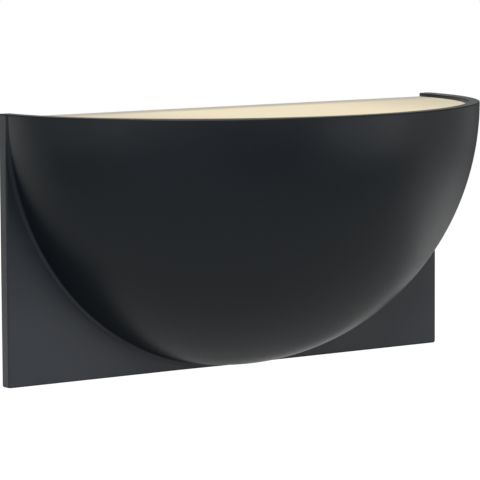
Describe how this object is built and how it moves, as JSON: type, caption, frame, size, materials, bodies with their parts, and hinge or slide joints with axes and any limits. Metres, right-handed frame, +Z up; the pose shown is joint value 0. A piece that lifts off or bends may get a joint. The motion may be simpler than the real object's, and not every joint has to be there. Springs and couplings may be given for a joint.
{
  "type": "uplighter wall light",
  "caption": "Half-bowl uplighter wall light: the shade hangs by keyholes on a wall bracket with the lamp tray and driver, under a lift-out opal diffuser.",
  "frame": {"origin": "middle of the two wall-screw slots, on the wall plane at the back of the bracket", "axes": "+X along the wall to the right as one faces the light, +Y into the wall, +Z up"},
  "size_m": [0.33, 0.152, 0.165],
  "materials": {
    "shade_paint": "satin charcoal powder coat on cast aluminium",
    "opal": "warm opal acrylic, satin",
    "foam": "soft black foam",
    "zinc_steel": "zinc-plated sheet",
    "stud_steel": "turned steel",
    "screw_steel": "zinc-plated screw",
    "black_rubber": "moulded rubber",
    "white_tray": "satin white paint on aluminium sheet",
    "thermal_pad": "soft grey silicone",
    "white_board": "white solder mask",
    "led_phosphor": "phosphor",
    "white_plastic": "moulded",
    "base_plate": "rolled sheet",
    "green_board": "green solder mask",
    "ferrite": "ferrite and varnished tape",
    "capacitor": "shrink sleeve",
    "nylon": "natural nylon",
    "brass": "turned brass",
    "tinned_copper": "tinned",
    "brown_lead": "brown insulation",
    "blue_lead": "blue insulation",
    "green_lead": "green insulation with a yellow stripe",
    "red_lead": "red insulation",
    "black_lead": "black insulation"
  },
  "bodies": {
    "wall_unit": {"wall_bracket": "zinc_steel", "hanging_studs": "stud_steel", "lock_screw": "screw_steel", "lock_washer": "screw_steel", "cable_grommet": "black_rubber", "led_tray": "white_tray", "tray_screws": "screw_steel", "thermal_pad": "thermal_pad", "led_board": "white_board", "led_chips": "led_phosphor", "board_screws": "screw_steel", "board_connector": "white_plastic", "tray_bush": "black_rubber", "driver_base": "base_plate", "driver_cover": "white_plastic", "driver_board": "green_board", "driver_transformer": "ferrite", "driver_capacitors": "capacitor", "driver_screws": "screw_steel", "terminal_block": "nylon", "terminal_inserts": "brass", "terminal_screws": "screw_steel", "terminal_fixings": "screw_steel", "earth_screw": "screw_steel", "earth_washer": "stud_steel", "earth_ring": "tinned_copper", "lead_clips": "nylon", "live_lead": "brown_lead", "neutral_lead": "blue_lead", "earth_lead": "green_lead", "led_lead_positive": "red_lead", "led_lead_negative": "black_lead"},
    "shade": {"housing": "shade_paint", "diffuser_seal": "foam"},
    "diffuser": {"diffuser": "opal"}
  },
  "joints": [
    {"name": "shade_lift", "type": "slide", "parent": "wall_unit", "child": "shade", "axis": [0, 0, 1], "range_m": [0, 0.01]},
    {"name": "diffuser_lift", "type": "slide", "parent": "shade", "child": "diffuser", "axis": [0, 0, 1], "range_m": [0, 0.06]}
  ]
}
